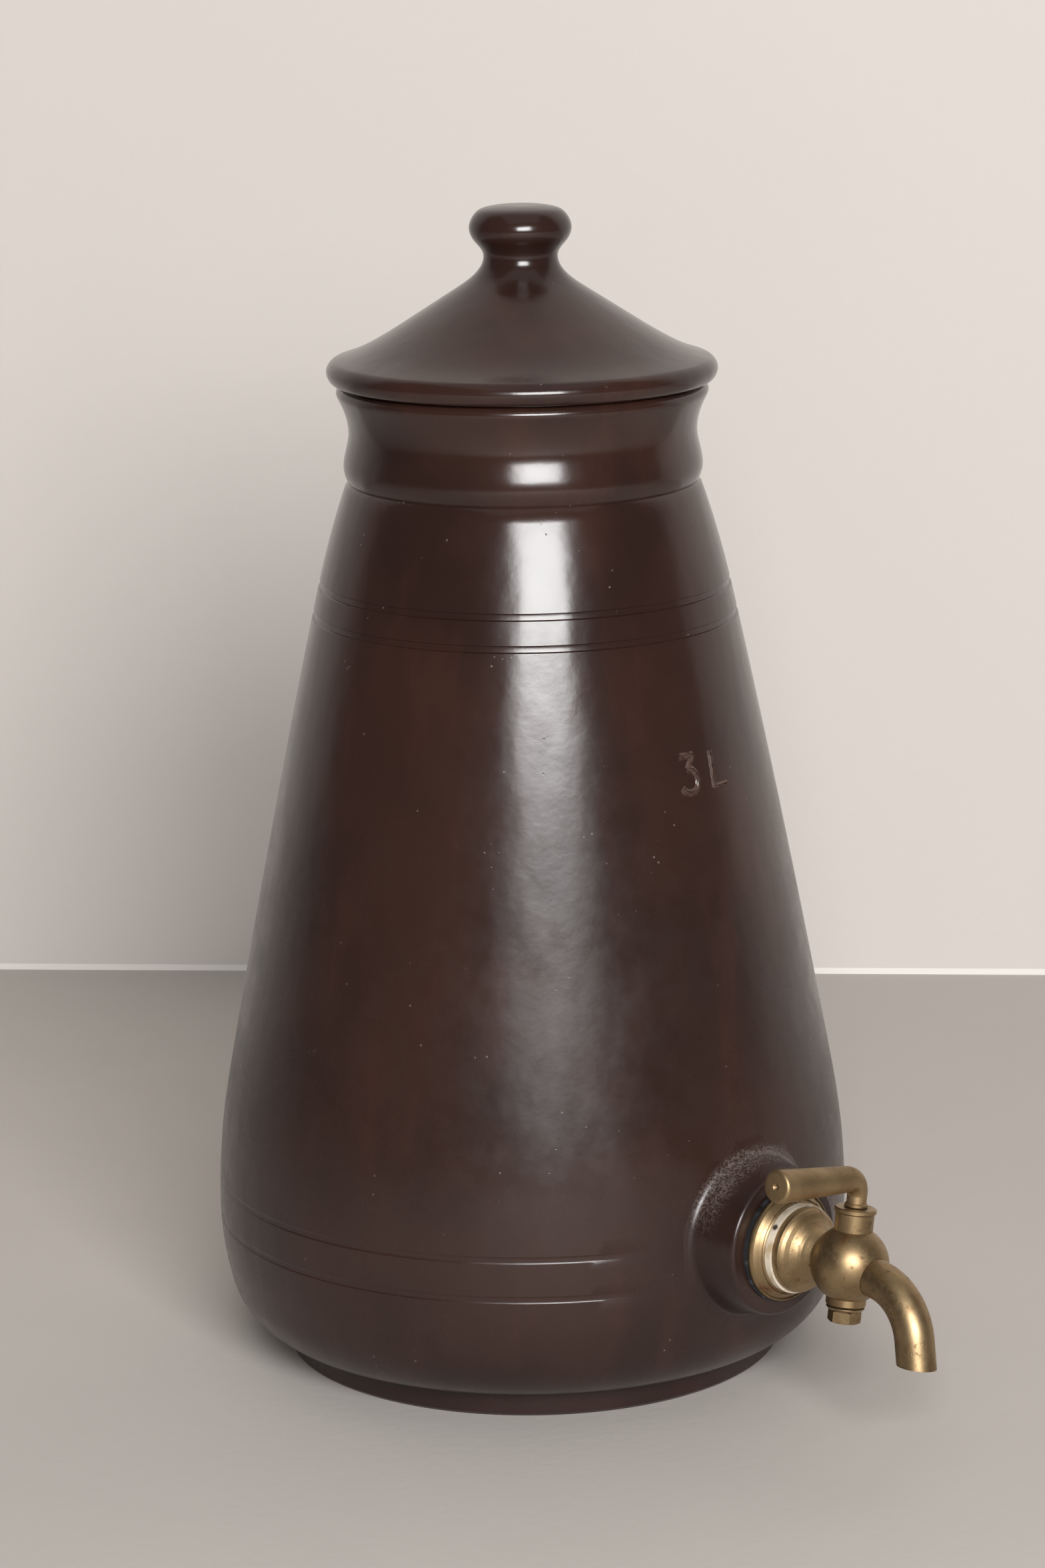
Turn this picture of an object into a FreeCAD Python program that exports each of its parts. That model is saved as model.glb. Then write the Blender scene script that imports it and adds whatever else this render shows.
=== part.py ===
# Stoneware drink dispenser: a thrown three litre pot with a loose lid and a brass plug-cock tap.
# Millimetres. The origin is the centre of the pot's underside, Z is up and the tap points to -Y.

import FreeCAD
import Part
import math
import os

Vec = FreeCAD.Vector

# Outlines are places (radius, height, heading in degrees), travelled upwards: 0 is outwards, 90 is up.
# A curved outline is drawn as chords, so that it turns into plain cones when it is revolved.
chord_turn = 10.0  # degrees that the outside turns between two chords
inner_chord_turn = 18.0

# Pot
wall = 7.0
floor_thickness = 9.0
foot_radius = 67.2
foot_height = 7.4
foot_bevel = 0.8
body_places = [
    (72.7, 7.9, 25.0),
    (82.7, 19.9, 75.0),
    (85.5, 41.0, 90.0),
    (82.3, 75.6, 100.5),
    (56.1, 205.2, 102.4),
    (47.3, 236.2, 109.5),
]
cordon_step = 0.9  # depth of the turned line that parts the cone from the neck
cordon_radius = 47.5
cordon_height = 242.0
neck_radius = 46.1
neck_height = 251.3
rim_radius = 49.2
rim_height = 264.2
rim_round = 2.3
throat_radius = 39.1
inner_corner_round = 12.0
shoulder_grooves = [211.0, 203.0]
base_grooves = [49.0, 38.4]
base_groove_gap = 46.0  # degrees left plain where the boss is luted on
groove_width = 2.4
groove_bed = 0.7
groove_depth = 0.55
seam_turn = 37.0  # keeps a turned line's own seam off the pot's

# Lid, with heights above its seat on the rim
lid_rest_gap = 0.2
brim_radius = 51.7
brim_low_radius = 49.4
brim_middle = 3.1
lid_places = [
    (49.4, 6.1, 163.0),
    (41.2, 9.4, 152.0),
    (33.0, 14.2, 147.5),
    (16.3, 24.9, 147.0),
    (10.9, 29.6, 125.0),
    (9.8, 33.0, 88.0),
    (12.2, 36.9, 52.0),
    (13.5, 40.1, 88.0),
    (11.6, 44.3, 135.0),
    (7.0, 45.9, 170.0),
    (0.0, 46.1, 180.0),
]
lid_wall = 4.6
spigot_clearance = 1.2
spigot_wall = 4.0
spigot_depth = 7.0

# Clay boss that carries the tap
tap_height = 47.7
boss_reach = 95.5  # from the pot's axis to the boss's face
boss_face_radius = 18.6
boss_inner_radius = 21.555  # where the boss starts, inside the wall
boss_root_round = 4.5
boss_edge_round = 1.2
tap_hole_clearance = 1.1  # round the shank

# Stack of rings between the boss and the tap's flange
shank_radius = 6.5
ring_clearance = 0.25
seal_radius = 15.2
seal_thickness = 0.9
backing_radius = 14.8
backing_thickness = 3.4
backing_bevel = 1.5
washer_radius = 11.8
washer_thickness = 1.9
inner_seal_radius = 13.0
inner_seal_thickness = 3.0
inner_washer_radius = 12.0
inner_washer_thickness = 1.5
backnut_across_flats = 20.0
backnut_thickness = 6.0
shank_spare = 3.0
thread_gap = 0.05

# Tap body
tap_turn = 8.5  # the tap is screwed home a few degrees past upright
flange_to_plug = 17.0  # from the flange's back to the plug's axis
ball_radius = 10.15
flange_radius = 11.1
flange_rim = 2.4
flange_face_radius = 10.0
hub_radius = 6.4
hub_length = 5.0
neck_pipe_radius = 5.6
water_bore_radius = 3.2
top_neck_radius = 5.0
top_neck_height = 13.4
low_neck_radius = 5.2
low_neck_depth = 10.9
low_neck_bevel = 0.5

# Spout
spout_radius = 5.1
spout_wall = 1.4
spout_fall = 10.0
spout_end_angle = 76.0
spout_seat = 6.4
spout_straight = 11.2
spout_bend = 16.7
spout_tail = 6.5
solder_gap = 0.05

# Plug and what is on it
plug_clearance = 0.04
plug_top_radius = 4.2
plug_low_radius = 3.4
plug_head_radius = 5.45
plug_head_thickness = 1.3
plug_head_gap = 0.15
port_radius = 2.4
tail_square = 3.8
tail_thread_radius = 1.8
plug_washer_radius = 4.95
plug_washer_thickness = 0.9
plug_washer_bevel = 0.6
nut_across_flats = 7.6
nut_thickness = 3.2

# Lever: one rod, bent and thickening towards its end
stem_radius = 2.6
stem_bead_radius = 3.0
stem_bead_height = 1.3
lever_height = 22.5
lever_bend = 4.6
lever_start_radius = 3.4
lever_end_radius = 4.35
lever_length = 31.0
lever_edge_round = 0.9
lever_dimple_radius = 1.0
stem_tenon_radius = 1.8
stem_tenon_depth = 3.0

X = Vec(1, 0, 0)
Y = Vec(0, 1, 0)
Z = Vec(0, 0, 1)
origin = Vec(0, 0, 0)


def heading(degrees):
    return Vec(math.cos(math.radians(degrees)), 0, math.sin(math.radians(degrees)))


def arc_on(start, direction, end, turn_per_chord):
    """The arc that leaves start in a direction and passes end, drawn as chords."""
    chord = end - start
    half_turn = direction.getAngle(chord)
    steps = max(1, round(2 * math.degrees(half_turn) / turn_per_chord))
    side = direction - chord * (direction.dot(chord) / chord.dot(chord))
    points = [start]
    if steps > 1:
        side.normalize()
        along = Vec(chord).normalize()
        radius = chord.Length / (2 * math.sin(half_turn))
        foot = start + chord * 0.5 - side * radius * math.cos(half_turn)
        for i in range(1, steps):
            turn = half_turn * (2 * i / steps - 1)
            points.append(foot + (along * math.sin(turn) + side * math.cos(turn)) * radius)
    points.append(end)
    return [Part.makeLine(p, q) for p, q in zip(points, points[1:])]


def flow(places, turn_per_chord=chord_turn):
    """An outline of tangent arcs that passes every place with its heading."""
    edges = []
    for (r0, z0, turn0), (r1, z1, turn1) in zip(places, places[1:]):
        start, end = Vec(r0, 0, z0), Vec(r1, 0, z1)
        leave, arrive = heading(turn0), heading(turn1)
        chord, both = end - start, leave + arrive
        spare = 2 * (1 - leave.dot(arrive))
        reach = chord.dot(both)
        if spare < 1e-9:
            arm = chord.dot(chord) / (2 * reach)
        else:
            arm = (math.sqrt(reach ** 2 + spare * chord.dot(chord)) - reach) / spare
        joint = (start + leave * arm + end - arrive * arm) * 0.5
        edges += arc_on(start, leave, joint, turn_per_chord)
        edges += arc_on(end, arrive * -1, joint, turn_per_chord)
    return edges


def offset(places, distance):
    """The same places moved to the left of their headings, which is inwards on the way up."""
    moved = []
    for r, z, turn in places:
        angle = math.radians(turn)
        moved.append((r - distance * math.sin(angle), z + distance * math.cos(angle), turn))
    return moved


def straight(*points):
    corners = [Vec(r, 0, z) for r, z in points]
    return [Part.makeLine(a, b) for a, b in zip(corners, corners[1:])]


def arc(start, middle, end):
    return Part.Arc(*[Vec(r, 0, z) for r, z in (start, middle, end)]).toShape()


def revolve(edges):
    """A solid of revolution about Z from edges that form one closed outline in the XZ plane."""
    outline = Part.Wire(Part.__sortEdges__(edges))
    return Part.Face(outline).revolve(origin, Z, 360)


def along_tap(shape):
    """Turns a shape made on +Z so that it lies on the tap's axis, its top towards the spout."""
    turned = shape.copy()
    turned.rotate(origin, X, 90)
    return turned


def ring(radius, bore, start, thickness):
    """A plain washer on the tap's axis, from start towards the spout, measured from the pot's axis."""
    body = Part.makeCylinder(radius, thickness, Vec(0, 0, start))
    return body.cut(Part.makeCylinder(bore, thickness + 2, Vec(0, 0, start - 1)))


def hexagon(across_flats, thickness, base):
    corner = across_flats / math.sqrt(3)
    points = [Vec(corner * math.cos(math.radians(60 * i)), corner * math.sin(math.radians(60 * i)), base)
              for i in range(7)]
    prism = Part.Face(Part.makePolygon(points)).extrude(Vec(0, 0, thickness))
    bevel = corner - across_flats / 2
    low = (corner - bevel, base)
    high = (corner - bevel, base + thickness)
    top = base + thickness
    turned = revolve(straight((0, base), low, (corner, base + 0.5 * bevel),
                              (corner, top - 0.5 * bevel), high, (0, top), (0, base)))
    return prism.common(turned)


def place_tap(shape):
    """From the tap's own frame, with the plug's axis on Z through the origin, to the pot's frame."""
    placed = shape.copy()
    placed.rotate(origin, Y, tap_turn)
    placed.translate(Vec(0, -plug_reach, tap_height))
    return placed


def place_ring(shape):
    placed = along_tap(shape)
    placed.rotate(origin, Y, tap_turn)
    placed.translate(Vec(0, 0, tap_height))
    return placed


# Places along the tap's axis, measured outwards from the pot's axis
seal_start = boss_reach
backing_start = seal_start + seal_thickness
washer_start = backing_start + backing_thickness
flange_start = washer_start + washer_thickness
plug_reach = flange_start + flange_to_plug
body_radius_at_tap = max(r for r, z, turn in body_places) - 0.2
inner_seat = body_radius_at_tap - wall
inner_seal_start = inner_seat - inner_seal_thickness
inner_washer_start = inner_seal_start - inner_washer_thickness
backnut_start = inner_washer_start - backnut_thickness
shank_end = backnut_start - shank_spare


def pot_outside():
    shoulder_r, shoulder_z, _ = body_places[0]
    cone_r, cone_z, _ = body_places[-1]
    line_bottom = (cone_r - cordon_step, cone_z + 1.2)
    edges = straight((0, 0), (foot_radius - foot_bevel, 0), (foot_radius, foot_bevel),
                     (foot_radius + 0.3, foot_height - 1.0), (foot_radius + 1.3, foot_height),
                     (shoulder_r, shoulder_z))
    edges += flow(body_places)
    edges += straight((cone_r, cone_z), line_bottom)
    edges += flow([line_bottom + (60.0,), (cordon_radius, cordon_height, 90.0),
                   (neck_radius, neck_height, 90.0), (rim_radius - 0.5, rim_height - 3.8, 62.0),
                   (rim_radius, rim_height - rim_round, 90.0), (rim_radius - rim_round, rim_height, 180.0)])
    return edges


def pot_inside():
    inner = offset(body_places, wall)
    lip = rim_height - rim_round
    floor_place = (inner[1][0] - inner_corner_round, floor_thickness, 0.0)
    throat = (throat_radius, cordon_height + 1.0)
    edges = straight((0, floor_thickness), floor_place[:2])
    edges += flow([floor_place] + inner[1:] + [throat + (90.0,)], inner_chord_turn)
    edges += straight(throat, (throat_radius, lip))
    edges += flow([(throat_radius, lip, 90.0), (throat_radius + rim_round, rim_height, 0.0)])
    return edges


def stoneware_pot():
    rim_top = straight((throat_radius + rim_round, rim_height), (rim_radius - rim_round, rim_height))
    pot = revolve(pot_outside() + rim_top + pot_inside() + straight((0, 0), (0, floor_thickness)))
    pot = add_boss(pot)
    for height in shoulder_grooves:
        pot = largest(pot.cut(groove(height)))
    for height in base_grooves:
        pot = largest(pot.cut(groove(height, base_groove_gap)))
    hole = Part.makeCylinder(shank_radius + tap_hole_clearance, boss_reach)
    seat = Part.makeCylinder(inner_seal_radius + 1.5, inner_seat - 60, Vec(0, 0, 60))
    for cutter in (hole, seat):
        pot = pot.cut(place_ring(cutter))
    return pot


def largest(shape):
    """The pot itself, without the chip that a cut leaves in the line."""
    return max(shape.Solids, key=lambda solid: solid.Volume)


def radius_at(height):
    """The radius of the plain body at a height."""
    level = Part.makeLine(Vec(0, 0, height), Vec(2 * foot_radius, 0, height))
    return Part.Wire(Part.__sortEdges__(flow(body_places))).distToShape(level)[1][0][0].x


def groove(height, gap=0):
    """A line turned into the outside at one height, left out over gap degrees at -Y."""
    surface = radius_at(height)
    deep = surface - groove_depth
    clear = surface + 1
    low, high = height - groove_width / 2, height + groove_width / 2
    bed_low, bed_high = height - groove_bed / 2, height + groove_bed / 2
    edges = straight((deep, bed_low), (deep, bed_high), (surface, high), (clear, high),
                     (clear, low), (surface, low), (deep, bed_low))
    line = Part.Face(Part.Wire(edges)).revolve(origin, Z, 360 - gap)
    line.rotate(origin, Z, -90 + gap / 2 if gap else seam_turn)
    return line


def add_boss(pot):
    """Joins a drafted clay boss to the pot, with a filleted root and an eased edge."""
    inside_start = inner_seat + 2.0
    boss = Part.makeCone(boss_inner_radius, boss_face_radius, boss_reach - inside_start,
                         Vec(0, 0, inside_start))
    face_edges = [e for e in boss.Edges if abs(e.CenterOfMass.z - boss_reach) < 1e-6]
    boss = boss.makeFillet(boss_edge_round, face_edges)
    joined = pot.fuse(place_ring(boss))
    roots = []
    for edge in joined.Edges:
        middle = edge.valueAt((edge.FirstParameter + edge.LastParameter) / 2)
        outward = -middle.y
        across = math.hypot(middle.x, middle.z - tap_height)
        on_body = inner_seat + 2.5 < outward < boss_reach - 2 * boss_edge_round
        if on_body and boss_face_radius < across < boss_inner_radius + 2:
            roots.append(edge)
    return joined.makeFillet(boss_root_round, roots)


def lid():
    base = rim_height + lid_rest_gap
    spigot_out = throat_radius - spigot_clearance
    spigot_in = spigot_out - spigot_wall
    tip = base - spigot_depth
    top = [(r, base + z, turn) for r, z, turn in lid_places]
    edges = straight((spigot_in, base), (spigot_in, tip + 1), (spigot_in + 1, tip), (spigot_out - 1, tip),
                     (spigot_out, tip + 1), (spigot_out, base), (brim_low_radius, base))
    edges += flow([(brim_low_radius, base, 0.0), (brim_radius, base + brim_middle, 90.0)] + top)
    under = offset(top[2:4], lid_wall)
    apex = (0.0, under[1][1] + 4.0, 180.0)
    edges += flow([(spigot_in, base, 90.0)] + under + [apex], inner_chord_turn)
    edges += straight(apex[:2], top[-1][:2])
    return revolve(edges)


def backing_ring():
    bore = shank_radius + ring_clearance
    start = backing_start
    end = start + backing_thickness
    face = backing_radius - backing_bevel
    shape = revolve(straight((bore, start), (backing_radius - 0.3, start), (backing_radius, start + 0.3),
                             (backing_radius, end - backing_bevel), (face, end - 0.3),
                             (face - 0.6, end), (bore, end), (bore, start)))
    return place_ring(shape)


def backnut():
    nut = hexagon(backnut_across_flats, backnut_thickness, backnut_start)
    return place_ring(nut.cut(Part.makeCylinder(shank_radius + thread_gap, 200)))


def tap_cone(clearance):
    """The ground taper that the plug turns in, open at both ends."""
    drop = low_neck_depth + 2
    rise = top_neck_height + 2
    slope = (plug_top_radius - plug_low_radius) / (top_neck_height + low_neck_depth)
    low = plug_low_radius - 2 * slope + clearance
    high = plug_top_radius + 2 * slope + clearance
    return Part.makeCone(low, high, rise + drop, Vec(0, 0, -drop))


def tap_body():
    rim_end = flange_to_plug - flange_rim  # from the plug's axis towards the pot, as all that follows
    hub_end = rim_end - hub_length
    shank_tip = plug_reach - shank_end
    outline = straight((0, 0), (neck_pipe_radius, 0), (neck_pipe_radius, hub_end - 1.5))
    outline += flow([(neck_pipe_radius, hub_end - 1.5, 90.0), (hub_radius, hub_end + 0.6, 70.0),
                     (flange_face_radius, rim_end - 0.7, 25.0)])
    outline += straight((flange_face_radius, rim_end - 0.7), (flange_radius - 0.4, rim_end),
                        (flange_radius, rim_end + 0.6), (flange_radius, flange_to_plug),
                        (shank_radius, flange_to_plug), (shank_radius, shank_tip - 0.8),
                        (shank_radius - 0.8, shank_tip), (0, shank_tip), (0, 0))
    pipe = revolve(outline)
    pipe.rotate(origin, X, -90)
    ball = Part.makeSphere(ball_radius)
    top = Part.makeCylinder(top_neck_radius, top_neck_height)
    low_end = -low_neck_depth
    low = revolve(straight((0, 0), (low_neck_radius, 0), (low_neck_radius, low_end + low_neck_bevel),
                           (low_neck_radius - low_neck_bevel, low_end), (0, low_end), (0, 0)))
    body = ball.fuse([pipe, top, low])
    out = below_horizon(spout_fall)
    waterway = Part.makeCylinder(water_bore_radius, shank_tip + 2, origin, Y)
    outlet = Part.makeCylinder(port_radius, ball_radius, origin, out)
    socket = Part.makeCylinder(spout_radius + solder_gap, ball_radius, out * spout_seat, out)
    body = body.cut([tap_cone(plug_clearance), waterway, outlet, socket])
    return place_tap(body.removeSplitter())


def below_horizon(degrees):
    """The direction away from the pot that points so far down."""
    fall = math.radians(degrees)
    return Vec(0, -math.cos(fall), -math.sin(fall))


def spout_path():
    """Straight out of the ball, round one bend and straight down past the outlet."""
    start = below_horizon(spout_fall) * (spout_seat + solder_gap)
    bend_start = below_horizon(spout_fall) * spout_straight
    centre = bend_start + below_horizon(spout_fall + 90) * spout_bend
    half_way = (spout_fall + spout_end_angle) / 2
    middle = centre - below_horizon(half_way + 90) * spout_bend
    bend_end = centre - below_horizon(spout_end_angle + 90) * spout_bend
    end = bend_end + below_horizon(spout_end_angle) * (spout_tail + spout_radius)
    return Part.Wire([Part.makeLine(start, bend_start), Part.Arc(bend_start, middle, bend_end).toShape(),
                      Part.makeLine(bend_end, end)])


def spout():
    """A bent tube, cut off level at its outlet."""
    path = spout_path()
    start, end = path.Vertexes[0].Point, path.Vertexes[-1].Point
    tubes = []
    for radius in (spout_radius, spout_radius - spout_wall):
        circle = Part.Wire(Part.makeCircle(radius, start, below_horizon(spout_fall)))
        tubes.append(path.makePipeShell([circle], True, False))
    tube = tubes[0].cut(tubes[1])
    outlet = end.z - (below_horizon(spout_end_angle) * spout_radius).z
    below = Part.makeBox(80, 80, 40, Vec(-40, -80, outlet - 40))
    return place_tap(tube.cut(below))


def tap_plug():
    slope = (plug_top_radius - plug_low_radius) / (top_neck_height + low_neck_depth)
    head_base = top_neck_height + plug_head_gap
    head_top = head_base + plug_head_thickness
    cone_end = -low_neck_depth + 0.4
    square_end = -low_neck_depth - plug_head_gap - plug_washer_thickness
    thread_end = square_end - nut_thickness + 0.3
    cone = revolve(straight((0, cone_end), (plug_low_radius + 0.4 * slope, cone_end),
                            (plug_top_radius + plug_head_gap * slope, head_base),
                            (plug_head_radius - 0.2, head_base), (plug_head_radius, head_base + 0.2),
                            (plug_head_radius, head_top - 0.3),
                            (plug_head_radius - 0.3, head_top), (0, head_top), (0, cone_end)))
    half = tail_square / 2
    square = Part.makeBox(tail_square, tail_square, cone_end - square_end, Vec(-half, -half, square_end))
    thread = Part.makeCylinder(tail_thread_radius, cone_end - thread_end, Vec(0, 0, thread_end))
    port = Part.makeCylinder(port_radius, 20, Vec(-10, 0, 0), X)
    hole_end = Vec(0, 0, head_top - stem_tenon_depth)
    tenon_hole = Part.makeCylinder(stem_tenon_radius + thread_gap, 10, hole_end)
    plug = cone.fuse([square, thread]).cut([port, tenon_hole])
    return place_tap(plug.removeSplitter())


def plug_washer():
    top = -low_neck_depth - plug_head_gap
    low = top - plug_washer_thickness
    body = revolve(straight((0, top), (plug_washer_radius, top), (plug_washer_radius, top - 0.3),
                            (plug_washer_radius - plug_washer_bevel, low), (0, low), (0, top)))
    hole = tail_square + 2 * thread_gap
    return place_tap(body.cut(Part.makeBox(hole, hole, 4, Vec(-hole / 2, -hole / 2, low - 1))))


def plug_nut():
    top = -low_neck_depth - plug_head_gap - plug_washer_thickness
    nut = hexagon(nut_across_flats, nut_thickness, top - nut_thickness)
    hole_end = Vec(0, 0, top - nut_thickness + 0.2)
    bore = Part.makeCylinder(tail_thread_radius + thread_gap, nut_thickness, hole_end)
    return place_tap(nut.cut(bore))


def lever_handle():
    base = top_neck_height + plug_head_gap + plug_head_thickness
    bend_base = lever_height - lever_bend
    tenon_end = base - stem_tenon_depth + 0.2
    bead_end = base + stem_bead_height
    stem = revolve(straight((0, tenon_end), (stem_tenon_radius, tenon_end), (stem_tenon_radius, base),
                            (stem_bead_radius - 0.3, base), (stem_bead_radius, base + 0.3),
                            (stem_bead_radius, bead_end - 0.4), (stem_radius, bead_end),
                            (stem_radius, bend_base), (0, bend_base), (0, tenon_end)))
    sections = []
    steps = 6
    for i in range(steps + 1):
        turn = math.radians(90.0 * i / steps)
        centre = Vec(-lever_bend * (1 - math.cos(turn)), 0, bend_base + lever_bend * math.sin(turn))
        direction = Vec(-math.sin(turn), 0, math.cos(turn))
        radius = stem_radius + (lever_start_radius - stem_radius) * i / steps
        sections.append(Part.Wire(Part.makeCircle(radius, centre, direction)))
    bend = Part.makeLoft(sections, True, False)
    start = lever_bend
    end = lever_length
    edge = lever_end_radius - lever_edge_round
    eased = 0.29 * lever_edge_round
    outline = straight((0, start), (lever_start_radius, start), (lever_end_radius, end - lever_edge_round))
    outline.append(arc((lever_end_radius, end - lever_edge_round), (lever_end_radius - eased, end - eased),
                       (edge, end)))
    outline += straight((edge, end), (lever_dimple_radius, end), (0, end - lever_dimple_radius), (0, start))
    grip = revolve(outline)
    grip.rotate(origin, Y, -90)
    grip.translate(Vec(0, 0, lever_height))
    return place_tap(stem.fuse([bend, grip]).removeSplitter())


def shank_ring(radius, start, thickness):
    return place_ring(ring(radius, shank_radius + ring_clearance, start, thickness))


nodes = {
    "stoneware_pot": stoneware_pot(),
    "lid": lid(),
    "boss_seal": shank_ring(seal_radius, seal_start, seal_thickness),
    "backing_ring": backing_ring(),
    "fibre_washer": shank_ring(washer_radius, washer_start, washer_thickness),
    "tap_body": tap_body(),
    "spout": spout(),
    "inner_seal": shank_ring(inner_seal_radius, inner_seal_start, inner_seal_thickness),
    "inner_washer": shank_ring(inner_washer_radius, inner_washer_start, inner_washer_thickness),
    "backnut": backnut(),
    "tap_plug": tap_plug(),
    "lever_handle": lever_handle(),
    "plug_washer": plug_washer(),
    "plug_nut": plug_nut(),
}

os.makedirs("parts", exist_ok=True)
for name, shape in nodes.items():
    shape.exportStep("parts/" + name + ".step")
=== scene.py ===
import bpy
import math
from mathutils import Matrix, Vector


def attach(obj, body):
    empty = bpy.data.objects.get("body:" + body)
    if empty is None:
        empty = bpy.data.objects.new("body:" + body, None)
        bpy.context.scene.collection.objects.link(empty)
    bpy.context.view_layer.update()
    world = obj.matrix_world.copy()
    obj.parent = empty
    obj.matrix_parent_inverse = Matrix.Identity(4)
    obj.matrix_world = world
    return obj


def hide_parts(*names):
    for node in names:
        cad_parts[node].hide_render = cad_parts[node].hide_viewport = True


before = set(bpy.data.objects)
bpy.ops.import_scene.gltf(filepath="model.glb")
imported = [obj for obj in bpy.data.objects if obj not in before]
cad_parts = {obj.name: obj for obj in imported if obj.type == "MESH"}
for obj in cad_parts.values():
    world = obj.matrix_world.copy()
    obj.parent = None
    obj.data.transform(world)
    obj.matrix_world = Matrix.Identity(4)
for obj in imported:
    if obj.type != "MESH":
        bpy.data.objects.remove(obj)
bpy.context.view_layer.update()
print("frame loaded with", len(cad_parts), "CAD nodes")

# Lengths are in metres. Outlines are places (radius, height, heading in degrees): 0 is outwards, 90 is up.


def deselectAll():
    if bpy.context.object and bpy.context.object.mode == "EDIT":
        bpy.ops.object.mode_set(mode="OBJECT")
    bpy.ops.object.select_all(action="DESELECT")


def choose(piece):
    deselectAll()
    bpy.context.view_layer.objects.active = piece
    piece.select_set(True)


def editing(piece):
    choose(piece)
    bpy.ops.object.mode_set(mode="EDIT")
    bpy.ops.mesh.select_mode(type="VERT")
    bpy.ops.mesh.select_all(action="SELECT")


def applyModifier(piece, kind, **settings):
    choose(piece)
    modifier = piece.modifiers.new(kind.title(), kind)
    for name, value in settings.items():
        setattr(modifier, name, value)
    bpy.ops.object.modifier_apply(modifier=modifier.name)


def tidyMesh(piece, angle=35, mergeAt=1e-6):
    editing(piece)
    bpy.ops.mesh.remove_doubles(threshold=mergeAt)
    bpy.ops.mesh.normals_make_consistent(inside=False)
    bpy.ops.object.mode_set(mode="OBJECT")
    bpy.ops.object.shade_smooth_by_angle(angle=math.radians(angle))


def ease(share):
    share = min(1.0, max(0.0, share))
    return share * share * (3 - 2 * share)


def hermite(start, end, leave, arrive, t):
    a = 2 * t ** 3 - 3 * t ** 2 + 1
    b = t ** 3 - 2 * t ** 2 + t
    c = 3 * t ** 2 - 2 * t ** 3
    d = t ** 3 - t ** 2
    return start * a + leave * b + end * c + arrive * d


def smoothOutline(places, turnPerStep=4.0, longest=0.006):
    # a smooth line through the places with their headings, as (radius, height) points
    points = []
    for (r0, z0, h0), (r1, z1, h1) in zip(places, places[1:]):
        start, end = Vector((r0, z0)), Vector((r1, z1))
        chord = (end - start).length
        leave = Vector((math.cos(math.radians(h0)), math.sin(math.radians(h0)))) * chord
        arrive = Vector((math.cos(math.radians(h1)), math.sin(math.radians(h1)))) * chord
        across = math.degrees(math.atan2(end.y - start.y, end.x - start.x))
        turned = abs((across - h0 + 180) % 360 - 180) + abs((h1 - across + 180) % 360 - 180)
        steps = max(1, math.ceil(turned / turnPerStep), math.ceil(chord / longest))
        for i in range(steps):
            points.append(tuple(hermite(start, end, leave, arrive, i / steps)))
    points.append(places[-1][:2])
    return points


def throwOnWheel(name, outline, columns):
    # the outline is laid on a loop of points and spun round the pot's axis
    deselectAll()
    bpy.ops.mesh.primitive_circle_add(vertices=len(outline), radius=outline[0][0] + 0.01)
    piece = bpy.context.object
    piece.name = name
    for vertex, (radius, height) in zip(piece.data.vertices, outline):
        vertex.co = (radius, 0, height)
    editing(piece)
    bpy.ops.mesh.spin(steps=columns, angle=2 * math.pi, center=(0, 0, 0), axis=(0, 0, 1))
    bpy.ops.mesh.select_all(action="SELECT")
    bpy.ops.mesh.remove_doubles(threshold=1e-6)
    bpy.ops.mesh.dissolve_degenerate(threshold=1e-7)
    bpy.ops.mesh.delete_loose(use_faces=False)
    bpy.ops.object.mode_set(mode="OBJECT")
    return piece


def cutWith(piece, cutter, operation="DIFFERENCE", crossed=False):
    # the faces that a cutter leaves keep its material; crossed is for shapes that run through themselves
    applyModifier(piece, "BOOLEAN", operation=operation, object=cutter, solver="EXACT",
                  material_mode="TRANSFER", use_self=crossed)
    bpy.data.objects.remove(cutter)


class Wire:
    # one output of a node, which can be used in sums
    def __init__(self, finish, socket):
        self.finish = finish
        self.socket = socket

    def maths(self, operation, first, second):
        return self.finish.add("ShaderNodeMath", {"operation": operation}, {0: first, 1: second})

    def __add__(self, other):
        return self.maths("ADD", self, other)

    def __radd__(self, other):
        return self.maths("ADD", other, self)

    def __sub__(self, other):
        return self.maths("SUBTRACT", self, other)

    def __rsub__(self, other):
        return self.maths("SUBTRACT", other, self)

    def __mul__(self, other):
        return self.maths("MULTIPLY", self, other)

    def __rmul__(self, other):
        return self.maths("MULTIPLY", other, self)


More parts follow.
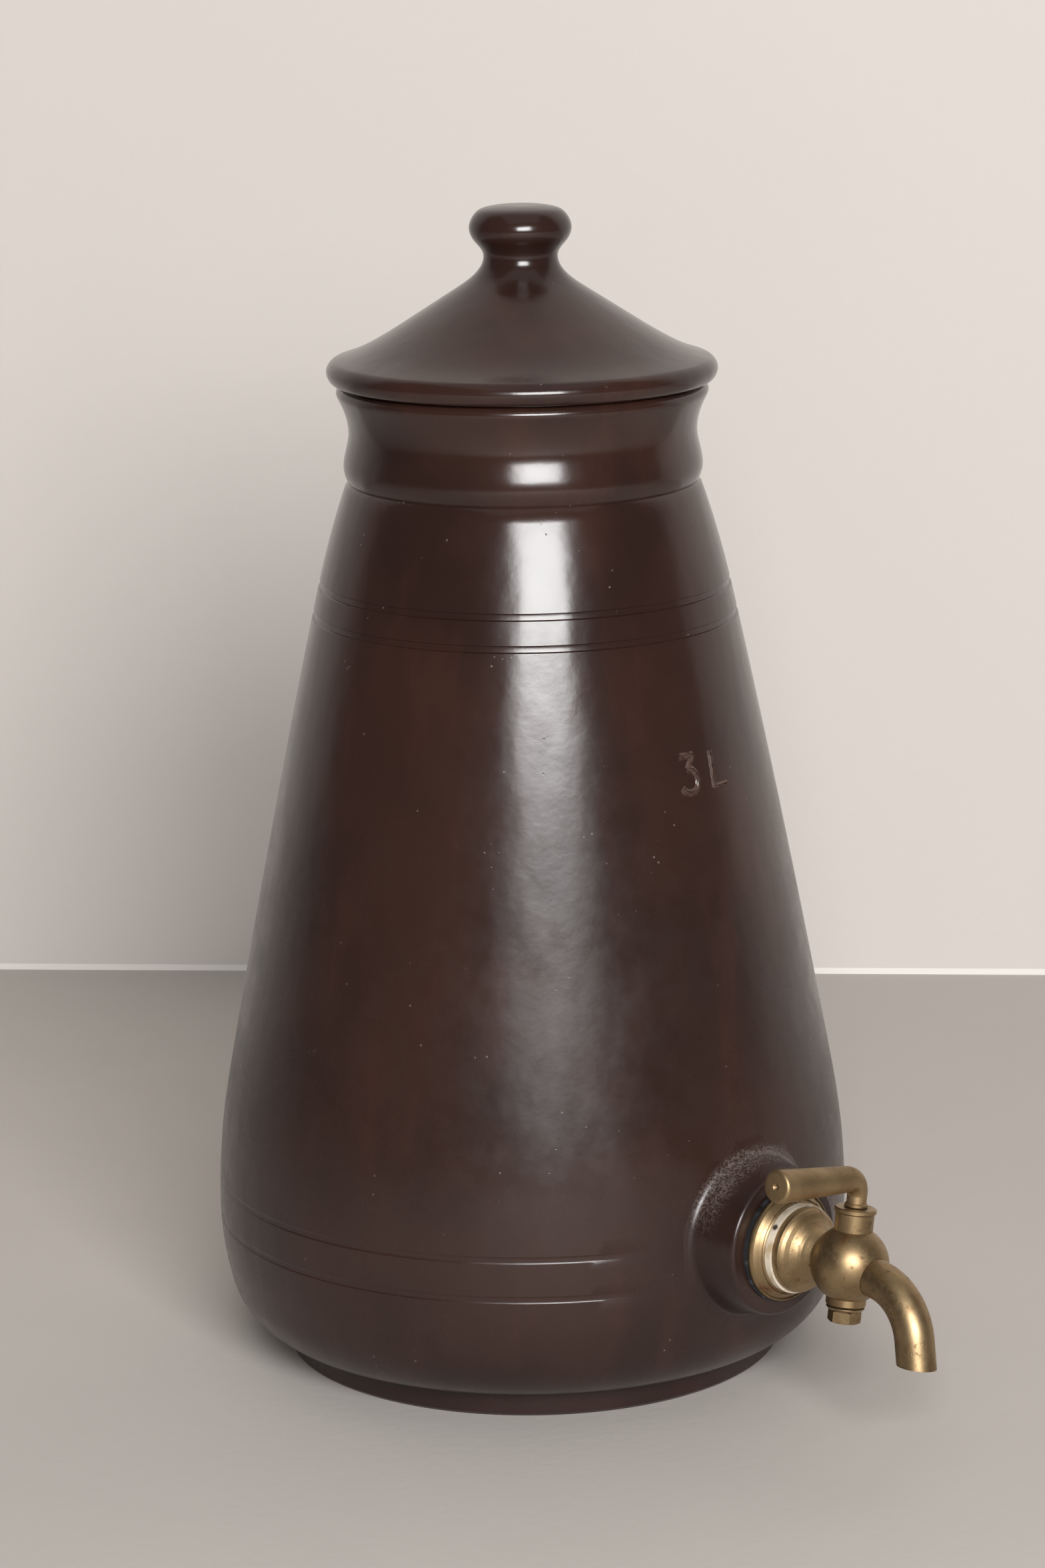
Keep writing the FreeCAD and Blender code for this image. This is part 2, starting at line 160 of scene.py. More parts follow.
class Finish:
    # one material, or the world, and its nodes
    def __init__(self, name, owner=None):
        self.owner = owner or bpy.data.materials.new(name)
        self.owner.use_nodes = True
        self.tree = self.owner.node_tree
        self.tree.nodes.clear()
        self.place = self.add("ShaderNodeTexCoord", {}, {}, "Object")

    def add(self, kind, settings, values, output=0):
        node = self.tree.nodes.new(kind)
        for name, value in settings.items():
            setattr(node, name, value)
        for name, value in values.items():
            if isinstance(value, Wire):
                self.tree.links.new(value.socket, node.inputs[name])
            else:
                node.inputs[name].default_value = value
        return Wire(self, node.outputs[output]) if node.outputs else None

    def noise(self, size, detail=4, stretch=(1, 1, 1), roughness=0.5):
        # size is the width of one patch in metres
        place = self.place
        if stretch != (1, 1, 1):
            place = self.add("ShaderNodeMapping", {}, {"Vector": place, "Scale": stretch})
        return self.add("ShaderNodeTexNoise", {}, {"Vector": place, "Scale": 1 / size,
                                                   "Detail": detail, "Roughness": roughness})

    def between(self, value, low, high):
        # 0 below low, 1 above high, and smooth in between
        return self.add("ShaderNodeMapRange", {"interpolation_type": "SMOOTHSTEP"},
                        {0: value, 1: low, 2: high, 3: 0.0, 4: 1.0})

    def spots(self, size, reach):
        # 1 at the middle of each spot and 0 at reach, as a share of the cell
        distance = self.add("ShaderNodeTexVoronoi", {}, {"Vector": self.place, "Scale": 1 / size})
        return 1 - self.between(distance, reach * 0.3, reach)

    def blend(self, factor, first, second):
        def full(colour):
            return colour if isinstance(colour, Wire) else (*colour, 1)
        return self.add("ShaderNodeMix", {"data_type": "RGBA"},
                        {0: factor, 6: full(first), 7: full(second)}, 2)

    def along(self, axis):
        return self.add("ShaderNodeSeparateXYZ", {}, {0: self.place}, axis)

    def distanceFrom(self, middle, counted=(1, 1, 1)):
        # counted leaves out an axis that is 0
        flat = self.add("ShaderNodeVectorMath", {"operation": "MULTIPLY"}, {0: self.place, 1: counted})
        return self.add("ShaderNodeVectorMath", {"operation": "DISTANCE"}, {0: flat, 1: middle}, "Value")

    def paintedCreviceShade(self, reach):
        # painted shade: 1 deep in a crevice or between parts, where ambient occlusion finds the surface shut
        # in, and 0 in the open
        openness = self.add("ShaderNodeAmbientOcclusion", {"samples": 8}, {"Distance": reach}, "AO")
        return 1 - self.between(openness, 0.40, 0.85)

    def shade(self, colour, roughness, bumps, **fixed):
        values = {"Base Color": colour, "Roughness": roughness}
        for heights, distance in bumps:
            bump = {"Height": heights, "Distance": distance}
            if "Normal" in values:
                bump["Normal"] = values["Normal"]
            values["Normal"] = self.add("ShaderNodeBump", {}, bump)
        values.update(fixed)
        return self.add("ShaderNodeBsdfPrincipled", {}, values)

    def done(self, shader):
        self.add("ShaderNodeOutputMaterial", {}, {"Surface": shader})
        return self.owner


glazeLook = {
    "dark": (0.0205, 0.0092, 0.0069),
    "brown": (0.0305, 0.0131, 0.0095),
    "red": (0.0470, 0.0172, 0.0120),
    "thinGlazeAndHighlight": (0.090, 0.053, 0.041),  # where the glaze ran off an edge, and a painted highlight on the pressed mark's strokes
    # pale colour of the dust specks and of the ring round the boss root, the ring partly a painted highlight
    "dust": (0.22, 0.185, 0.165),
    "satin": 0.285,  # roughness low down
    "gloss": 0.19,  # roughness at the shoulder
    "satinBelow": 0.105,
    "glossAbove": 0.222,
    "refraction": 1.5,
    "tapHeight": 0.0477,
    # a pale ring on the upper side of the boss's root: settled dust, and a painted highlight where the fillet
    # catches the light
    "dustAndSheenRing": (0.0196, 0.0208, 0.0220, 0.0248),  # from the tap's axis: none, full, full, none
    "dustAndSheenRise": (0.046, 0.066),  # heights where it starts and is full
    "dustAndSheenBack": (-0.066, -0.060),  # places along Y where it ends
}


def glazeFinish(name, thinnedAndHighlighted):
    finish = Finish(name)
    height = finish.along("Z")
    patches = finish.noise(0.045, 5)
    streaks = finish.noise(0.012, 4, (1, 1, 0.16))
    colour = finish.blend(finish.between(patches, 0.35, 0.65), glazeLook["dark"], glazeLook["brown"])
    colour = finish.blend(finish.between(streaks, 0.50, 0.80) * 0.5, colour, glazeLook["red"])
    # the mark's strokes are lightened: glaze thinned on their edges, and a painted highlight where the
    # grooves catch the light
    colour = finish.blend(finish.between(finish.noise(0.0012), 0.3, 0.6) * thinnedAndHighlighted, colour, glazeLook["thinGlazeAndHighlight"])
    specks = finish.spots(0.0030, 0.13) * finish.between(finish.noise(0.012, 2), 0.59, 0.65)

    # pale ring round the upper side of the boss root: settled dust, and a painted highlight on the fillet
    across = finish.distanceFrom((0, 0, glazeLook["tapHeight"]), (1, 0, 1))
    none, full, leave, gone = glazeLook["dustAndSheenRing"]
    ring = finish.between(across, none, full) * (1 - finish.between(across, leave, gone))
    ring = ring * finish.between(height, *glazeLook["dustAndSheenRise"])
    ring = ring * (1 - finish.between(finish.along("Y"), *glazeLook["dustAndSheenBack"]))
    settledDustAndSheen = ring * finish.between(finish.noise(0.0007, 5, roughness=0.75), 0.38, 0.66)
    # pale colour from real dust specks and from the ring, which is partly a painted highlight
    dust = finish.between(specks + settledDustAndSheen, 0.0, 1.0)
    colour = finish.blend(dust * 0.45, colour, glazeLook["dust"])

    gloss = finish.between(height, glazeLook["satinBelow"], glazeLook["glossAbove"])
    roughness = glazeLook["satin"] - gloss * (glazeLook["satin"] - glazeLook["gloss"])
    mottle = (finish.noise(0.007, 5, roughness=0.6) - 0.5) * (0.20 - gloss * 0.14)
    wide = (finish.noise(0.030, 3) - 0.5) * (0.16 - gloss * 0.12)
    roughness = roughness + mottle + wide + dust * 0.25
    waves = finish.noise(0.016, 2, (1, 1, 0.45))
    skin = finish.noise(0.0022, 3)
    pits = finish.spots(0.0060, 0.05)
    bumps = [(waves, 0.00030), (skin, 0.00002), (1 - pits, 0.00003)]
    return finish.done(finish.shade(colour, roughness, bumps, IOR=glazeLook["refraction"]))


brassLook = {
    "bright": (0.37, 0.262, 0.142),
    "aged": (0.26, 0.180, 0.096),
    "brown": (0.100, 0.064, 0.036),
    "copper": (0.30, 0.155, 0.078),
    "pitch": 0.00134,  # of the thread on the shank
    "threadTo": 0.0678,  # from the pot's axis
    "threadFade": 0.0001,
    "threadDepth": 0.00025,
}


def brassFinish(name, tarnish, roughness, copper=0.4):
    finish = Finish(name)
    cloud = finish.noise(0.010, 5, roughness=0.55)
    fine = finish.noise(0.0013, 5)
    colour = finish.blend(finish.between(cloud, 0.35, 0.68), brassLook["bright"], brassLook["aged"])
    warm = finish.between(finish.noise(0.0050, 3, roughness=0.7), 0.56, 0.70)
    colour = finish.blend(warm * copper, colour, brassLook["copper"])
    darkening = finish.between(cloud * 0.4 + fine * 0.6, 0.52, 0.66) * tarnish
    # painted shade: the brass goes brown in crevices and between parts, where ambient occlusion finds it shut
    # in; the tarnish patches above are the brass's own
    creviceShade = finish.paintedCreviceShade(0.0035)
    colour = finish.blend(finish.between(darkening + creviceShade * 0.85, 0.0, 1.0), colour, brassLook["brown"])
    scratches = finish.between(finish.noise(0.0006, 2, (1, 1, 0.06)), 0.60, 0.72)
    rough = roughness + darkening * 0.25 + creviceShade * 0.15 + (fine - 0.5) * 0.14
    pits = finish.spots(0.0014, 0.16)
    bumps = [(fine, 0.00001), (1 - pits, 0.00002), (1 - scratches, 0.000006)]
    return finish, colour, rough, bumps


def brassDone(name, tarnish, roughness, copper=0.4):
    finish, colour, rough, bumps = brassFinish(name, tarnish, roughness, copper)
    return finish.done(finish.shade(colour, rough, bumps, Metallic=1.0))


def threadedBrass(name, tarnish, roughness):
    # the end of the shank, inside the pot, shows its thread
    finish, colour, rough, bumps = brassFinish(name, tarnish, roughness)
    turn = finish.add("ShaderNodeMath", {"operation": "ARCTAN2"},
                      {0: finish.along("X"), 1: finish.along("Z") - glazeLook["tapHeight"]})
    climb = finish.along("Y") * (2 * math.pi / brassLook["pitch"]) + turn
    wave = finish.add("ShaderNodeMath", {"operation": "SINE"}, {0: climb})
    end = -brassLook["threadTo"]
    inside = finish.between(finish.along("Y"), end, brassLook["threadFade"] + end)
    bumps.append((wave * inside, brassLook["threadDepth"]))
    return finish.done(finish.shade(colour, rough, bumps, Metallic=1.0))


rubberLook = {"clean": (0.012, 0.012, 0.014), "dusty": (0.040, 0.042, 0.048)}


def rubberFinish():
    finish = Finish("black_rubber")
    dust = finish.between(finish.noise(0.003, 5), 0.45, 0.70)
    colour = finish.blend(dust, rubberLook["clean"], rubberLook["dusty"])
    return finish.done(finish.shade(colour, 0.55 + dust * 0.2, [(finish.noise(0.0006, 3), 0.00003)]))


fibreLook = {
    "cream": (0.72, 0.63, 0.50),
    "stained": (0.48, 0.36, 0.22),
    # dark colour for the nick and for the painted shade at the washer's edges
    "darkening": (0.05, 0.035, 0.025),
    "nick": (-0.0090, -0.1008, 0.0555),  # where a crumb of the washer's edge is gone
    "nickReach": (0.0004, 0.0012),
}


def fibreFinish():
    finish = Finish("white_fibre")
    stain = finish.between(finish.noise(0.004, 5), 0.46, 0.70)
    colour = finish.blend(stain, fibreLook["cream"], fibreLook["stained"])
    nick = 1 - finish.between(finish.distanceFrom(fibreLook["nick"]), *fibreLook["nickReach"])
    # the nick's dark spot, and painted shade where the washer lies between the ring and the flange
    darkening = finish.between(nick + finish.paintedCreviceShade(0.0015) * 0.6, 0.0, 1.0)
    colour = finish.blend(darkening, colour, fibreLook["darkening"])
    fibres = finish.noise(0.0004, 4, (1, 0.2, 1))
    return finish.done(finish.shade(colour, 0.62 + stain * 0.15, [(fibres, 0.00004)]))


glaze = glazeFinish("glaze", 0.0)
# the mark's own glaze, lightened as thinned glaze and as a painted highlight
markGlaze = glazeFinish("glaze_in_mark", 0.8)
brass = brassDone("brass", 0.55, 0.43)
bodyBrass = threadedBrass("brass_body", 0.55, 0.44)
leverBrass = brassDone("brass_lever", 0.30, 0.50, 0.1)
ringBrass = brassDone("brass_ring", 0.70, 0.42, 1.0)
rubber = rubberFinish()
fibre = fibreFinish()
print("finishes made")


def paint(piece, material):
    piece.data.materials.clear()
    piece.data.materials.append(material)


def seat(piece, body, slot, *nodes):
    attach(piece, body)
    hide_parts(*nodes)


pot = {
    "columns": 224,
    "wall": 0.007,
    "foot": [(0.0, 0.0), (0.0664, 0.0), (0.0672, 0.0008), (0.0675, 0.0064), (0.0685, 0.0074)],
    "body": [
        (0.0727, 0.0079, 25.0),
        (0.0827, 0.0199, 75.0),
        (0.0855, 0.0410, 90.0),
        (0.0823, 0.0756, 100.5),
        (0.0561, 0.2052, 102.4),
        (0.0473, 0.2369, 109.5),
    ],
    "neck": [
        (0.0463, 0.2379, 60.0),
        (0.0476, 0.2423, 90.0),
        (0.0461, 0.2513, 90.0),
        (0.0487, 0.2604, 62.0),
        (0.0492, 0.2619, 90.0),
        (0.0469, 0.2642, 180.0),
    ],
    "throat": [(0.0414, 0.2642, 180.0), (0.0391, 0.2619, 270.0)],
    "throatFoot": 0.243,
    "floor": 0.009,
    "floorRing": 0.02,
    "cornerRound": 0.012,
    "ringHeights": (22, 236, 4),  # of the side, in millimetres: first, end and step
    "shoulderLines": [0.2110, 0.2030],
    "baseLines": [0.0490, 0.0384],
    "lineWidth": 0.0020,
    "lineDepth": 0.00050,
    "baseDepth": 0.00020,
    "lineClear": 0.0022,  # no plain ring stands nearer to a line
    "outsideFrom": 0.080,  # the base lines are pressed into points beyond this radius
    "lineGap": (20.0, 34.0),  # degrees from the tap: where the base lines start and are full
}

boss = {
    "columns": 128,
    "height": glazeLook["tapHeight"],
    "face": 0.0955,  # from the pot's axis
    "radius": 0.0190,
    "draft": math.radians(11.0),
    "edgeRound": 0.0012,
    "rootRound": 0.0018,
    "skirt": 0.0010,  # how far it runs on past the fillet, under the clay
    "skirtDepth": (0.0040, 0.0006),  # of its inner and outer ring
    "coreDepth": 0.005,
    "slopeStep": 0.0005,
    "faceInset": 0.003,  # from the hole to the face's first ring
    "hole": 0.0076,
    "holeReach": (0.06, 0.11),  # from the pot's axis
    "innerSeat": (0.055, 0.0783),
    "innerSeatRadius": 0.0145,
}


def linedHeights():
    # extra rings where a line is turned into the clay
    steps = (-0.5, -0.36, -0.2, 0.0, 0.2, 0.36, 0.5)
    lines = pot["shoulderLines"] + pot["baseLines"]
    return [line + pot["lineWidth"] * step for line in lines for step in steps]


def bodyRadius(height):
    for (r0, z0, h0), (r1, z1, h1) in zip(pot["body"], pot["body"][1:]):
        if height <= z1:
            span = z1 - z0
            slopes = [span / math.tan(math.radians(h)) for h in (h0, h1)]
            return hermite(r0, r1, slopes[0], slopes[1], (height - z0) / span)
    return pot["body"][-1][0]


def potOutline():
    shoulder = smoothOutline(pot["body"][:2], 6, 0.0015)
    rise = [z * 0.001 for z in range(*pot["ringHeights"])]
    lines = pot["shoulderLines"] + pot["baseLines"]
    clear = [z for z in rise if min(abs(z - line) for line in lines) > pot["lineClear"]]
    sides = [(bodyRadius(z) - lineDepthAt(z), z) for z in sorted(clear + linedHeights())]
    inner = []
    for r, z, turn in reversed(pot["body"][1:]):
        angle = math.radians(turn)
        inner.append((r - pot["wall"] * math.sin(angle), z + pot["wall"] * math.cos(angle), turn + 180))
    down = smoothOutline([(pot["throat"][1][0], pot["throatFoot"], 270.0)] + inner, 5, 0.008)
    corner = (inner[-1][0] - pot["cornerRound"], pot["floor"], 180.0)
    bottom = smoothOutline([inner[-1], corner], 10)[1:]
    bottom += [(pot["floorRing"], pot["floor"]), (0.0, pot["floor"])]
    return (pot["foot"] + shoulder + sides + [pot["body"][-1][:2]]
            + smoothOutline(pot["neck"], 4, 0.0015) + smoothOutline(pot["throat"], 10)
            + down + bottom)


def lineDepthAt(height):
    # how deep the shoulder lines are turned at a height
    nearest = min(abs(height - line) for line in pot["shoulderLines"])
    return pot["lineDepth"] * ease(3 - 6 * nearest / pot["lineWidth"])


def turnBaseLines(piece):
    # presses both base lines into their rings, and fades them out beside the boss
    none, full = pot["lineGap"]
    for vertex in piece.data.vertices:
        x, y, z = vertex.co
        nearest = min(abs(z - line) for line in pot["baseLines"])
        if nearest < pot["lineWidth"] / 2 and vertex.co.xy.length > pot["outsideFrom"]:
            turn = abs(math.degrees(math.atan2(x, -y)))
            depth = pot["baseDepth"] * ease(3 - 6 * nearest / pot["lineWidth"])
            depth = depth * ease((turn - none) / (full - none))
            shrink = 1 - depth / bodyRadius(z)
            vertex.co = (x * shrink, y * shrink, z)


def surfaceReach(x, z):
    # how far the pot's outside is from its axis, towards the tap
    return math.sqrt(bodyRadius(z) ** 2 - x ** 2)


def bossStations(angle):
    # (distance from the tap's axis, reach from the pot's axis) from inside the clay to the hole
    def skin(across):
        return surfaceReach(across * math.cos(angle), boss["height"] + across * math.sin(angle))

    def cone(reach):
        return boss["radius"] + (boss["face"] - reach) * math.tan(boss["draft"])

    meet = boss["radius"]
    for _ in range(30):
        meet = cone(skin(meet))
    out = meet + boss["rootRound"]
    top = skin(meet) + boss["rootRound"]
    low, up = Vector((out, skin(out))), Vector((cone(top), top))
    slope = (skin(out + boss["slopeStep"]) - skin(out)) / boss["slopeStep"]
    crease = Vector((meet, skin(out) + slope * (meet - out)))
    inner, outer = boss["skirtDepth"]
    hem = out + boss["skirt"]
    stations = [(hem, skin(out) - inner), (hem, skin(hem) - outer)]
    for i in range(9):
        t = i / 8
        stations.append(tuple(low * (1 - t) ** 2 + crease * 2 * t * (1 - t) + up * t ** 2))
    edge = boss["edgeRound"]
    rim = boss["face"] - edge
    for i in range(1, 4):
        reach = up.y + (rim - up.y) * i / 3
        stations.append((cone(reach), reach))
    for i in range(1, 6):
        turn = math.radians(90 * i / 5)
        stations.append((cone(rim) - edge * (1 - math.cos(turn)), rim + edge * math.sin(turn)))
    stations.append((boss["hole"] + boss["faceInset"], boss["face"]))
    return stations


def makeBoss():
    # a plain stack of rings, each then taken to its place on the clay
    count = len(bossStations(0.0))
    stack = [(0.0, 0.0)] + [(1.0, float(k)) for k in range(count)] + [(0.0, count - 1.0)]
    piece = throwOnWheel("boss", stack, boss["columns"])
    stations = {}
    for vertex in piece.data.vertices:
        angle = math.atan2(vertex.co.y, vertex.co.x)
        if vertex.co.xy.length < 0.5:
            back = bodyRadius(boss["height"]) - boss["coreDepth"]
            across, reach = 0.0, (boss["face"] if vertex.co.z > 1 else back)
        else:
            turn = round(math.degrees(angle), 2)
            stations[turn] = stations.get(turn) or bossStations(angle)
            across, reach = stations[turn][round(vertex.co.z)]
        vertex.co = Vector((across * math.cos(angle), -reach, boss["height"] + across * math.sin(angle)))
    tidyMesh(piece, 40, 1e-7)
    paint(piece, glaze)
    return piece


def plugCutter(radius, start, end):
    deselectAll()
    bpy.ops.mesh.primitive_cylinder_add(vertices=96, radius=radius, depth=end - start,
                                        location=(0, -(start + end) / 2, boss["height"]),
                                        rotation=(math.radians(90), 0, 0))
    bpy.ops.object.transform_apply(location=True, rotation=True, scale=True)
    paint(bpy.context.object, glaze)
    return bpy.context.object


def makePot():
    piece = throwOnWheel("pot", potOutline(), pot["columns"])
    turnBaseLines(piece)
    tidyMesh(piece)
    paint(piece, glaze)
    cutWith(piece, makeBoss(), "UNION")
    cutWith(piece, plugCutter(boss["hole"], *boss["holeReach"]))
    cutWith(piece, plugCutter(boss["innerSeatRadius"], *boss["innerSeat"]))
    pressMark(piece)
    tidyMesh(piece, 32)
    return piece


# the capacity, pressed in above the tap, each stroke as (sideways, upwards) from the middle of its figure
mark = {
    "height": 0.168,
    "sideways": 0.0030,  # from straight above the tap
    "spacing": 0.0056,
    "rim": (0.00135, -0.00095),  # radius of the stroke, and its middle's height over the clay
    "groove": (0.00062, 0.00008),
    "three": [
        [(-0.0026, 0.0047), (0.0022, 0.0047)],
        [(0.0022, 0.0047), (-0.0003, 0.0012)],
        [(-0.0003, 0.0012), (0.0013, 0.0010), (0.0024, -0.0001), (0.0029, -0.0017), (0.0025, -0.0035),
         (0.0013, -0.0046), (-0.0004, -0.0048), (-0.0018, -0.0043), (-0.0029, -0.0032)],
    ],
    "el": [
        [(-0.0026, 0.0047), (-0.0026, -0.0047)],
        [(-0.0026, -0.0047), (0.0027, -0.0047)],
    ],
}


def strokeBar(places, middle, radius, lift):
    # one stroke as a round bar that lies in the clay
    curve = bpy.data.curves.new("stroke", "CURVE")
    curve.dimensions = "3D"
    curve.bevel_depth = radius
    curve.bevel_resolution = 4
    curve.use_fill_caps = True
    line = curve.splines.new("POLY")
    line.points.add(len(places) - 1)
    for point, (across, up) in zip(line.points, places):
        height = mark["height"] + up
        reach = bodyRadius(height) + lift
        turn = (mark["sideways"] + middle + across) / reach
        point.co = (reach * math.sin(turn), -reach * math.cos(turn), height, 1)
    bar = bpy.data.objects.new("stroke", curve)
    bpy.context.scene.collection.objects.link(bar)
    choose(bar)
    bpy.ops.object.convert(target="MESH")
    tidyMesh(bar)
    paint(bar, markGlaze)
    return bar


def markBars(radius, lift):
    bars = [strokeBar(places, middle, radius, lift)
            for figure, middle in (("three", -mark["spacing"]), ("el", mark["spacing"]))
            for places in mark[figure]]
    for bar in bars[1:]:
        cutWith(bars[0], bar, "UNION", crossed=True)
    return bars[0]


def pressMark(piece):
    # the clay stands up a little round each groove
    cutWith(piece, markBars(*mark["rim"]), "UNION")
    cutWith(piece, markBars(*mark["groove"]))


stonewarePot = makePot()
seat(stonewarePot, "pot", "glaze", "stoneware_pot")
print("pot thrown,", len(stonewarePot.data.polygons), "faces")


lid = {
    "columns": 192,
    "seat": 0.2644,
    "spigot": (0.0339, 0.0379),  # inner and outer radius
    "spigotDepth": 0.007,
    "spigotRound": (0.001, 0.0003, 0.0004),  # at its tip, half way round it, and at its root
    "crown": 0.004,  # rise of the hollow towards its middle
    "lowBrim": 0.0494,
    "brim": (0.0517, 0.0031),
    "top": [
        (0.0494, 0.0061, 163.0),
        (0.0412, 0.0094, 152.0),
        (0.0330, 0.0142, 147.5),
        (0.0163, 0.0249, 147.0),
        (0.0109, 0.0296, 125.0),
        (0.0098, 0.0330, 88.0),
        (0.0122, 0.0369, 52.0),
        (0.0135, 0.0401, 88.0),
        (0.0116, 0.0443, 135.0),
        (0.0070, 0.0459, 170.0),
        (0.0, 0.0461, 180.0),
    ],
    "wall": 0.0046,
}


def lidOutline():
    base = lid["seat"]
    inner, outer = lid["spigot"]
    tip = base - lid["spigotDepth"]
    under = []
    for r, z, turn in lid["top"][2:4]:
        angle = math.radians(turn)
        height = base + z + lid["wall"] * math.cos(angle)
        under.append((r - lid["wall"] * math.sin(angle), height, turn + 180))
    middle = (0.0, under[1][1] + lid["crown"], 0.0)
    hollow = smoothOutline([middle, under[1], under[0], (inner, base, 270.0)], 6)
    big, small, root = lid["spigotRound"]
    spigot = [(inner, tip + big), (inner + small, tip + small), (inner + big, tip),
              (outer - big, tip), (outer - small, tip + small), (outer, tip + big),
              (outer, base - root), (outer + root, base)]
    brim = [(lid["lowBrim"], base, 0.0), (lid["brim"][0], base + lid["brim"][1], 90.0)]
    top = [(r, base + z, turn) for r, z, turn in lid["top"]]
    return hollow + spigot + smoothOutline(brim + top, 4, 0.0025)


lidPiece = throwOnWheel("lid_thrown", lidOutline(), lid["columns"])
tidyMesh(lidPiece, 40)
paint(lidPiece, glaze)
seat(lidPiece, "lid", "glaze", "lid")
print("lid thrown,", len(lidPiece.data.polygons), "faces")


tapFinishes = {
    "boss_seal": rubber,
    "fibre_washer": fibre,
    "tap_body": bodyBrass,
    "spout": brass,
    "inner_seal": rubber,
    "inner_washer": ringBrass,
    "backnut": brass,
    "tap_plug": brass,
    "lever_handle": leverBrass,
    "plug_washer": brass,
    "plug_nut": brass,
}

for nodeName, finish in tapFinishes.items():
    paint(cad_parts[nodeName], finish)

ring = {
    "columns": 128,
    "back": 0.0964,  # from the pot's axis
    "front": 0.0998,
    "bore": 0.00675,
    "rolled": [  # radius and distance in front of the back
        (0.0142, 0.0000), (0.0146, 0.0001), (0.0148, 0.0005), (0.0148, 0.0010), (0.0146, 0.0014),
        (0.0143, 0.0015), (0.0141, 0.0013), (0.0139, 0.0014), (0.0133, 0.0022), (0.0127, 0.0029),
        (0.0126, 0.0030), (0.0125, 0.0029), (0.0123, 0.0029), (0.0121, 0.0032), (0.0118, 0.0034),
    ],
}


def turnRing():
    # turned upright, then laid over to point at the tap
    outline = [(ring["bore"], 0.0)] + ring["rolled"] + [(ring["bore"], ring["front"] - ring["back"])]
    piece = throwOnWheel("backing_ring_turned", outline + outline[:1], ring["columns"])
    editing(piece)
    bpy.ops.transform.rotate(value=math.radians(-90), orient_axis="X", center_override=(0, 0, 0))
    bpy.ops.transform.translate(value=(0, -ring["back"], boss["height"]))
    tidyMesh(piece, 40)
    paint(piece, ringBrass)
    return piece


seat(turnRing(), "pot", "brass", "backing_ring")
print("tap finished")


room = {
    "floor": (0.52, 0.481, 0.445),
    "floorSize": 8,
    "wall": (0.655, 0.608, 0.569),
    "wallSize": 5,
    "edge": (0.85, 0.81, 0.77),
    "mark": (0.25, 0.22, 0.20),
    "skirtingHighlight": 0.0020,  # height of the pale line at the foot of the wall, a painted highlight
    "wallBehind": 0.376,  # from the pot's axis, away from the camera
    "wallTurn": math.radians(-4.0),
    "ambient": (0.95, 0.97, 1.0),
    "fill": 0.085,
    "pale": 0.60,
}

view = {
    "azimuth": math.radians(-43.0),
    "distance": 1.224,
    "height": 0.4362,
    "sideways": -0.0013,
    "pitch": math.radians(12.94),
    "roll": math.radians(0.75),
    "lens": 107.14,
    "sensor": 36.0,
    "nearest": 0.05,
}


def plaster(finish, colour, patch):
    mottle = finish.noise(patch, 4)
    marks = finish.spots(0.06, 0.03)
    pale = tuple(min(1.0, c * 1.05) for c in colour)
    stained = finish.blend(marks * 0.25, finish.blend(mottle, colour, pale), room["mark"])
    return finish.shade(stained, 0.75, [(finish.noise(0.004, 4), 0.0001)])


def floorFinish():
    finish = Finish("floor")
    return finish.done(plaster(finish, room["floor"], 0.05))


def wallFinish():
    # seen from the pot's side only, so that it hides nothing from behind
    finish = Finish("wall")
    # painted highlight: a pale line along the foot of the wall
    edge = 1 - finish.between(finish.along("Z"), room["skirtingHighlight"], room["skirtingHighlight"] * 1.2)
    light = finish.shade((*room["edge"], 1), 0.6, [])
    plain = plaster(finish, room["wall"], 0.2)
    front = finish.add("ShaderNodeMixShader", {}, {0: edge, 1: plain, 2: light})
    behind = finish.add("ShaderNodeNewGeometry", {}, {}, "Backfacing")
    clear = finish.add("ShaderNodeBsdfTransparent", {}, {})
    return finish.done(finish.add("ShaderNodeMixShader", {}, {0: behind, 1: front, 2: clear}))


def makeWall(turn):
    deselectAll()
    place = turn @ Vector((0, room["wallBehind"], room["wallSize"] / 2))
    facing = (math.radians(90), 0, view["azimuth"] + room["wallTurn"])
    bpy.ops.mesh.primitive_plane_add(size=room["wallSize"], location=place, rotation=facing)
    backdrop = bpy.context.object
    backdrop.name = "wall"
    bpy.ops.object.transform_apply(location=True, rotation=True, scale=True)
    paint(backdrop, wallFinish())
    return backdrop


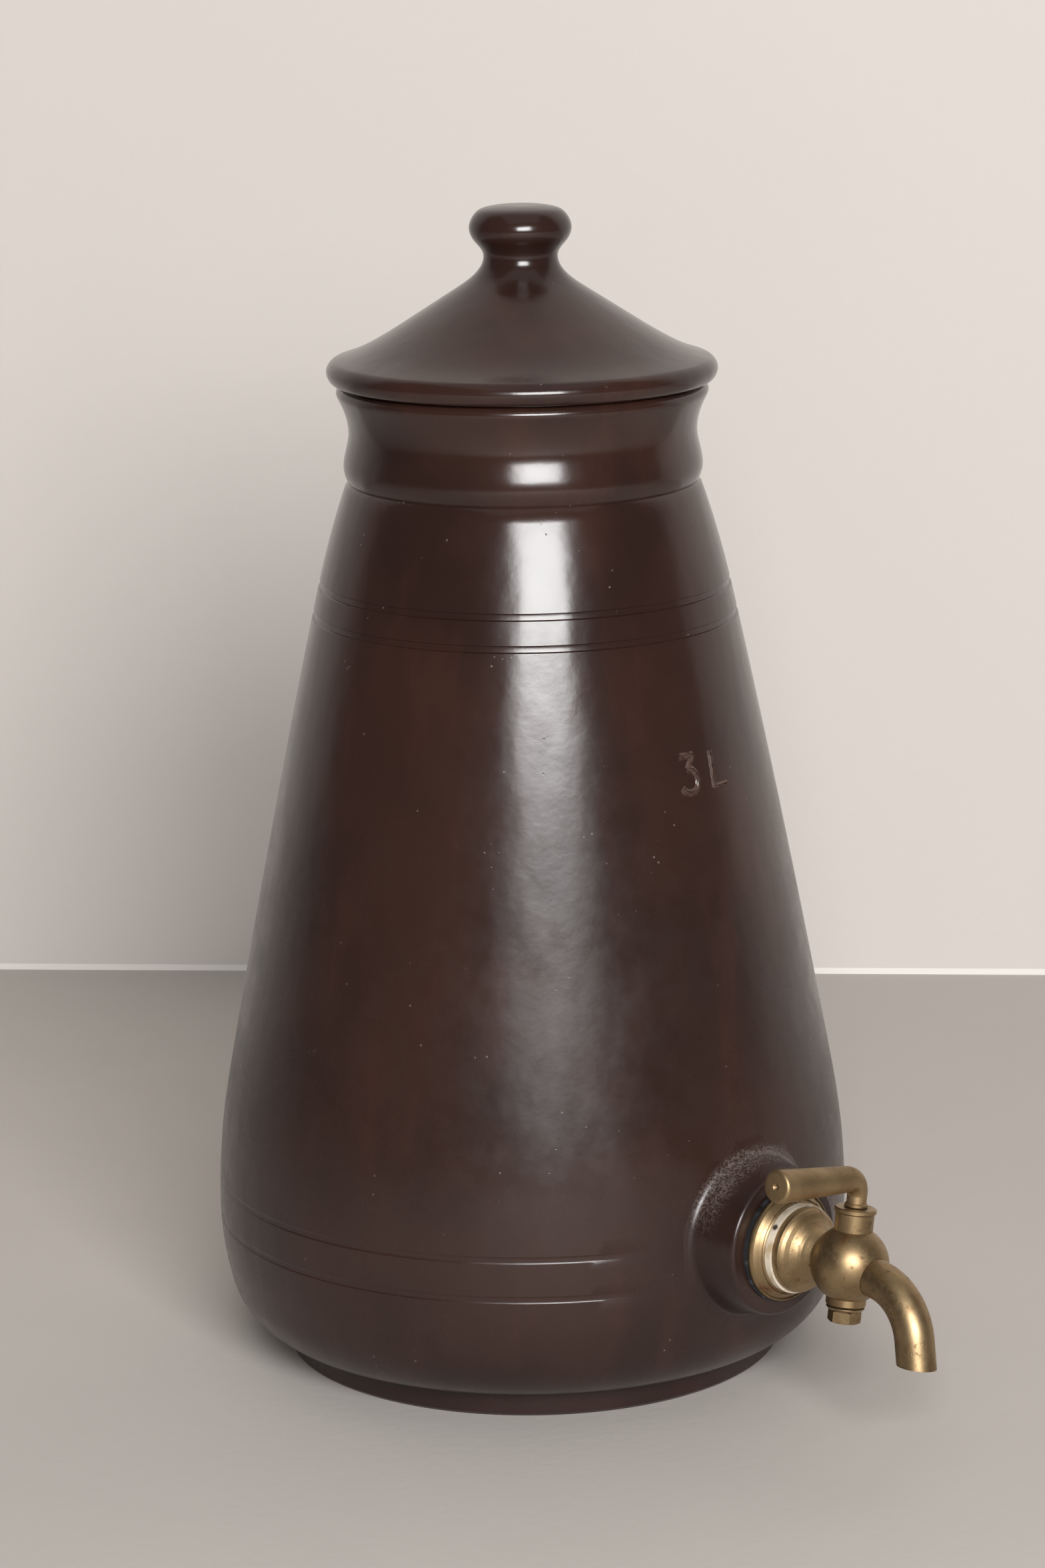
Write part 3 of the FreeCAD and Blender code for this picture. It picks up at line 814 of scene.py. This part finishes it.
def makeRoom(turn):
    deselectAll()
    bpy.ops.mesh.primitive_plane_add(size=room["floorSize"], location=(0, 0, 0))
    floor = bpy.context.object
    floor.name = "floor"
    paint(floor, floorFinish())
    makeWall(turn)
    # the air looks pale, and lights the pot only a little
    air = Finish("air", bpy.data.worlds.new("air"))
    seen = air.add("ShaderNodeLightPath", {}, {}, "Is Camera Ray")
    strength = room["fill"] + seen * (room["pale"] - room["fill"])
    light = air.add("ShaderNodeBackground", {}, {"Color": (*room["ambient"], 1), "Strength": strength})
    air.add("ShaderNodeOutputWorld", {}, {"Surface": light})
    bpy.context.scene.world = air.owner


lamps = {
    # places are seen from the camera: to the right, away from it and up
    "window": {"place": (0.28, -1.72, 0.87), "size": (0.92, 0.68), "power": 45, "target": (0, 0, 0.17)},
    "ceiling": {"place": (0.1, -0.4, 2.3), "size": (2.2, 2.2), "power": 5, "target": (0, 0, 0.1)},
}


def addLamp(name, lampLook, turn):
    place = turn @ Vector(lampLook["place"])
    deselectAll()
    bpy.ops.object.light_add(type="AREA", location=place)
    lamp = bpy.context.object
    lamp.name = name
    lamp.data.shape = "RECTANGLE"
    lamp.data.size, lamp.data.size_y = lampLook["size"]
    lamp.data.energy = lampLook["power"]
    lamp.rotation_euler = (Vector(lampLook["target"]) - place).to_track_quat("-Z", "Y").to_euler()


def photoCamera():
    turn = Matrix.Rotation(view["azimuth"], 3, "Z")
    place = turn @ Vector((view["sideways"], -view["distance"], 0)) + Vector((0, 0, view["height"]))
    forward = turn @ Vector((0, math.cos(view["pitch"]), -math.sin(view["pitch"])))
    deselectAll()
    bpy.ops.object.camera_add(location=place)
    camera = bpy.context.object
    aim = forward.to_track_quat("-Z", "Y").to_matrix() @ Matrix.Rotation(-view["roll"], 3, "Z")
    camera.rotation_euler = aim.to_euler()
    camera.data.lens = view["lens"]
    camera.data.sensor_width = view["sensor"]
    camera.data.clip_start = view["nearest"]
    bpy.context.scene.camera = camera
    return turn


towardsCamera = photoCamera()
makeRoom(towardsCamera)
for lampName, lampLook in lamps.items():
    addLamp(lampName, lampLook, towardsCamera)
bpy.context.scene.view_settings.view_transform = "Standard"
print("room, lamps and camera ready")
